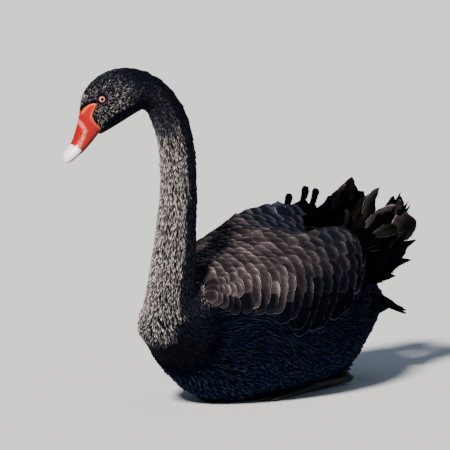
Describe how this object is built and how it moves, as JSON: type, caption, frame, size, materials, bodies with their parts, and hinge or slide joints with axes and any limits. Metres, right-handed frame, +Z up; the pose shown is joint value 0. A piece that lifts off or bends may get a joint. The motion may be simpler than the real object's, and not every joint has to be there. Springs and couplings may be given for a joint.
{
  "type": "black swan",
  "caption": "Life-size adult black swan afloat, resting on its belly, neck upright and hooked over, ruffled wing feathers raised, feet tucked under.",
  "frame": {"origin": "middle of the flat on the underside of the belly", "axes": "+Z up; the bird faces -Y, its left side is +X, and its tail points to +Y"},
  "size_m": [0.263, 0.6481, 0.4585],
  "materials": {
    "head_plumage": "short dense black feathers, dusty brown in the light",
    "bill_skin": "smooth glossy red horn with a white band and a pale nail",
    "eye": "wet glossy eye, black pupil in a red ring",
    "neck_plumage": "short wavy black feathers with brown-grey tips",
    "body_plumage": "dense soft sooty black feathers",
    "wing_plumage": "broad sooty feathers with paler rims, some curled up",
    "leg_skin": "dark grey-black scaly skin"
  },
  "bodies": {
    "root": {"head": "head_plumage", "bill_upper": "bill_skin", "bill_lower": "bill_skin", "eye_left": "eye", "eye_right": "eye", "neck_upper": "neck_plumage", "neck_middle": "neck_plumage", "neck_lower": "neck_plumage", "torso": "body_plumage", "wing_left": "wing_plumage", "wing_right": "wing_plumage", "tail": "wing_plumage", "foot_left": "leg_skin", "foot_right": "leg_skin"}
  },
  "joints": []
}
